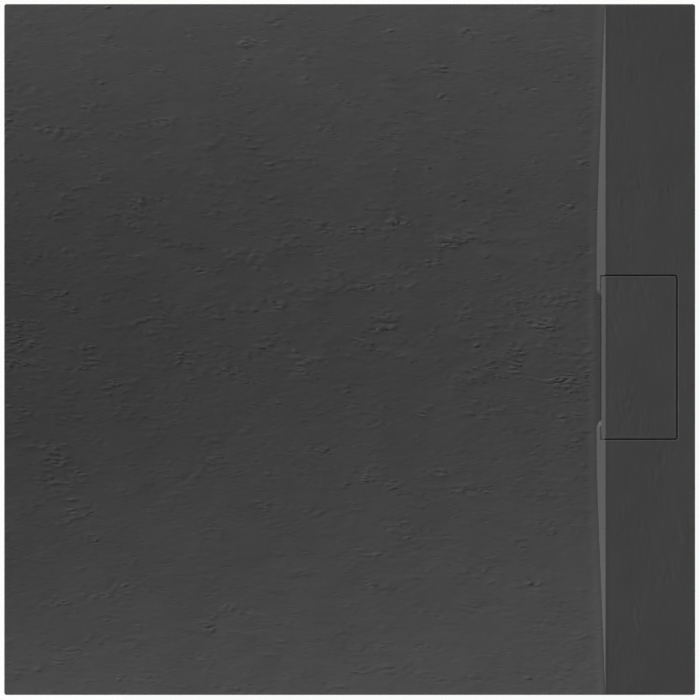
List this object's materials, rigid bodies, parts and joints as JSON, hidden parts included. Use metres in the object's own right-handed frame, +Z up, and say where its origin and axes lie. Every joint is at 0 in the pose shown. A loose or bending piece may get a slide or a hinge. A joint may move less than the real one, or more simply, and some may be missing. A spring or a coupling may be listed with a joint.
{
  "type": "shower tray",
  "caption": "Square slate-relief shower tray with a raised side strip, lift-off waste cover, low trap and levelling feet.",
  "frame": {"origin": "centre of the tray's footprint at the floor, under the feet", "axes": "+X towards the raised strip with the waste cover, +Y towards the back edge, +Z up"},
  "size_m": [0.9, 0.9, 0.11],
  "materials": {
    "slate_resin": "matte",
    "cover_resin": "matte",
    "stainless": "satin",
    "zinc_steel": "satin",
    "rubber": "matte",
    "trap_plastic": "satin",
    "nut_plastic": "satin",
    "insert_plastic": "satin",
    "foot_plastic": "matte"
  },
  "bodies": {
    "tray": {"tray_shell": "slate_resin", "waste_flange": "stainless", "flange_gasket": "rubber", "trap_gasket": "rubber", "trap_body": "trap_plastic", "outlet_seal": "rubber", "outlet_nut": "nut_plastic", "foot_socket_screws": "zinc_steel", "foot_lock_nuts": "zinc_steel", "foot_socket_back_left": "foot_plastic", "foot_socket_back_right": "foot_plastic", "foot_socket_front_left": "foot_plastic", "foot_socket_front_right": "foot_plastic", "foot_socket_centre": "foot_plastic"},
    "cover": {"waste_cover": "cover_resin", "cover_pads": "rubber"},
    "strainer": {"hair_strainer": "stainless"},
    "trap_insert": {"dip_tube": "insert_plastic", "dip_tube_seal": "rubber"},
    "elbow": {"outlet_elbow": "trap_plastic"},
    "foot_back_left": {"foot_pad_back_left": "foot_plastic", "foot_sole_back_left": "rubber"},
    "stem_back_left": {"foot_stem_back_left": "zinc_steel"},
    "foot_back_right": {"foot_pad_back_right": "foot_plastic", "foot_sole_back_right": "rubber"},
    "stem_back_right": {"foot_stem_back_right": "zinc_steel"},
    "foot_front_left": {"foot_pad_front_left": "foot_plastic", "foot_sole_front_left": "rubber"},
    "stem_front_left": {"foot_stem_front_left": "zinc_steel"},
    "foot_front_right": {"foot_pad_front_right": "foot_plastic", "foot_sole_front_right": "rubber"},
    "stem_front_right": {"foot_stem_front_right": "zinc_steel"},
    "foot_centre": {"foot_pad_centre": "foot_plastic", "foot_sole_centre": "rubber"},
    "stem_centre": {"foot_stem_centre": "zinc_steel"}
  },
  "joints": [
    {"name": "cover_lift", "type": "slide", "parent": "tray", "child": "cover", "axis": [0, 0, 1], "range_m": [0, 0.2]},
    {"name": "strainer_lift", "type": "slide", "parent": "tray", "child": "strainer", "axis": [0, 0, 1], "range_m": [0, 0.15]},
    {"name": "insert_lift", "type": "slide", "parent": "tray", "child": "trap_insert", "axis": [0, 0, 1], "range_m": [0, 0.1]},
    {"name": "outlet_swivel", "type": "hinge", "parent": "tray", "child": "elbow", "pos_m": [0.37315, -0.096, 0.036], "axis": [0, 1, 0], "range_deg": [-20, 12]},
    {"name": "foot_back_left_height", "type": "slide", "parent": "tray", "child": "foot_back_left", "axis": [0, 0, -1], "range_m": [0, 0.02]},
    {"name": "foot_back_left_turn", "type": "hinge", "parent": "foot_back_left", "child": "stem_back_left", "pos_m": [-0.38222, 0.38222, 0.02], "axis": [0, 0, -1], "range_deg": [0, 4115]},
    {"name": "foot_back_right_height", "type": "slide", "parent": "tray", "child": "foot_back_right", "axis": [0, 0, -1], "range_m": [0, 0.02]},
    {"name": "foot_back_right_turn", "type": "hinge", "parent": "foot_back_right", "child": "stem_back_right", "pos_m": [0.38222, 0.38222, 0.02], "axis": [0, 0, -1], "range_deg": [0, 4115]},
    {"name": "foot_front_left_height", "type": "slide", "parent": "tray", "child": "foot_front_left", "axis": [0, 0, -1], "range_m": [0, 0.02]},
    {"name": "foot_front_left_turn", "type": "hinge", "parent": "foot_front_left", "child": "stem_front_left", "pos_m": [-0.38222, -0.38222, 0.02], "axis": [0, 0, -1], "range_deg": [0, 4115]},
    {"name": "foot_front_right_height", "type": "slide", "parent": "tray", "child": "foot_front_right", "axis": [0, 0, -1], "range_m": [0, 0.02]},
    {"name": "foot_front_right_turn", "type": "hinge", "parent": "foot_front_right", "child": "stem_front_right", "pos_m": [0.38222, -0.38222, 0.02], "axis": [0, 0, -1], "range_deg": [0, 4115]},
    {"name": "foot_centre_height", "type": "slide", "parent": "tray", "child": "foot_centre", "axis": [0, 0, -1], "range_m": [0, 0.02]},
    {"name": "foot_centre_turn", "type": "hinge", "parent": "foot_centre", "child": "stem_centre", "pos_m": [0, 0, 0.02], "axis": [0, 0, -1], "range_deg": [0, 4115]}
  ],
  "couplings": [
    {"joint": "strainer_lift", "follows": "cover_lift", "ratio": 0.75},
    {"joint": "insert_lift", "follows": "cover_lift", "ratio": 0.5},
    {"joint": "foot_back_left_turn", "follows": "foot_back_left_height", "rad_per_m": 3590.4},
    {"joint": "foot_back_right_turn", "follows": "foot_back_right_height", "rad_per_m": 3590.4},
    {"joint": "foot_front_left_turn", "follows": "foot_front_left_height", "rad_per_m": 3590.4},
    {"joint": "foot_front_right_turn", "follows": "foot_front_right_height", "rad_per_m": 3590.4},
    {"joint": "foot_centre_turn", "follows": "foot_centre_height", "rad_per_m": 3590.4}
  ]
}
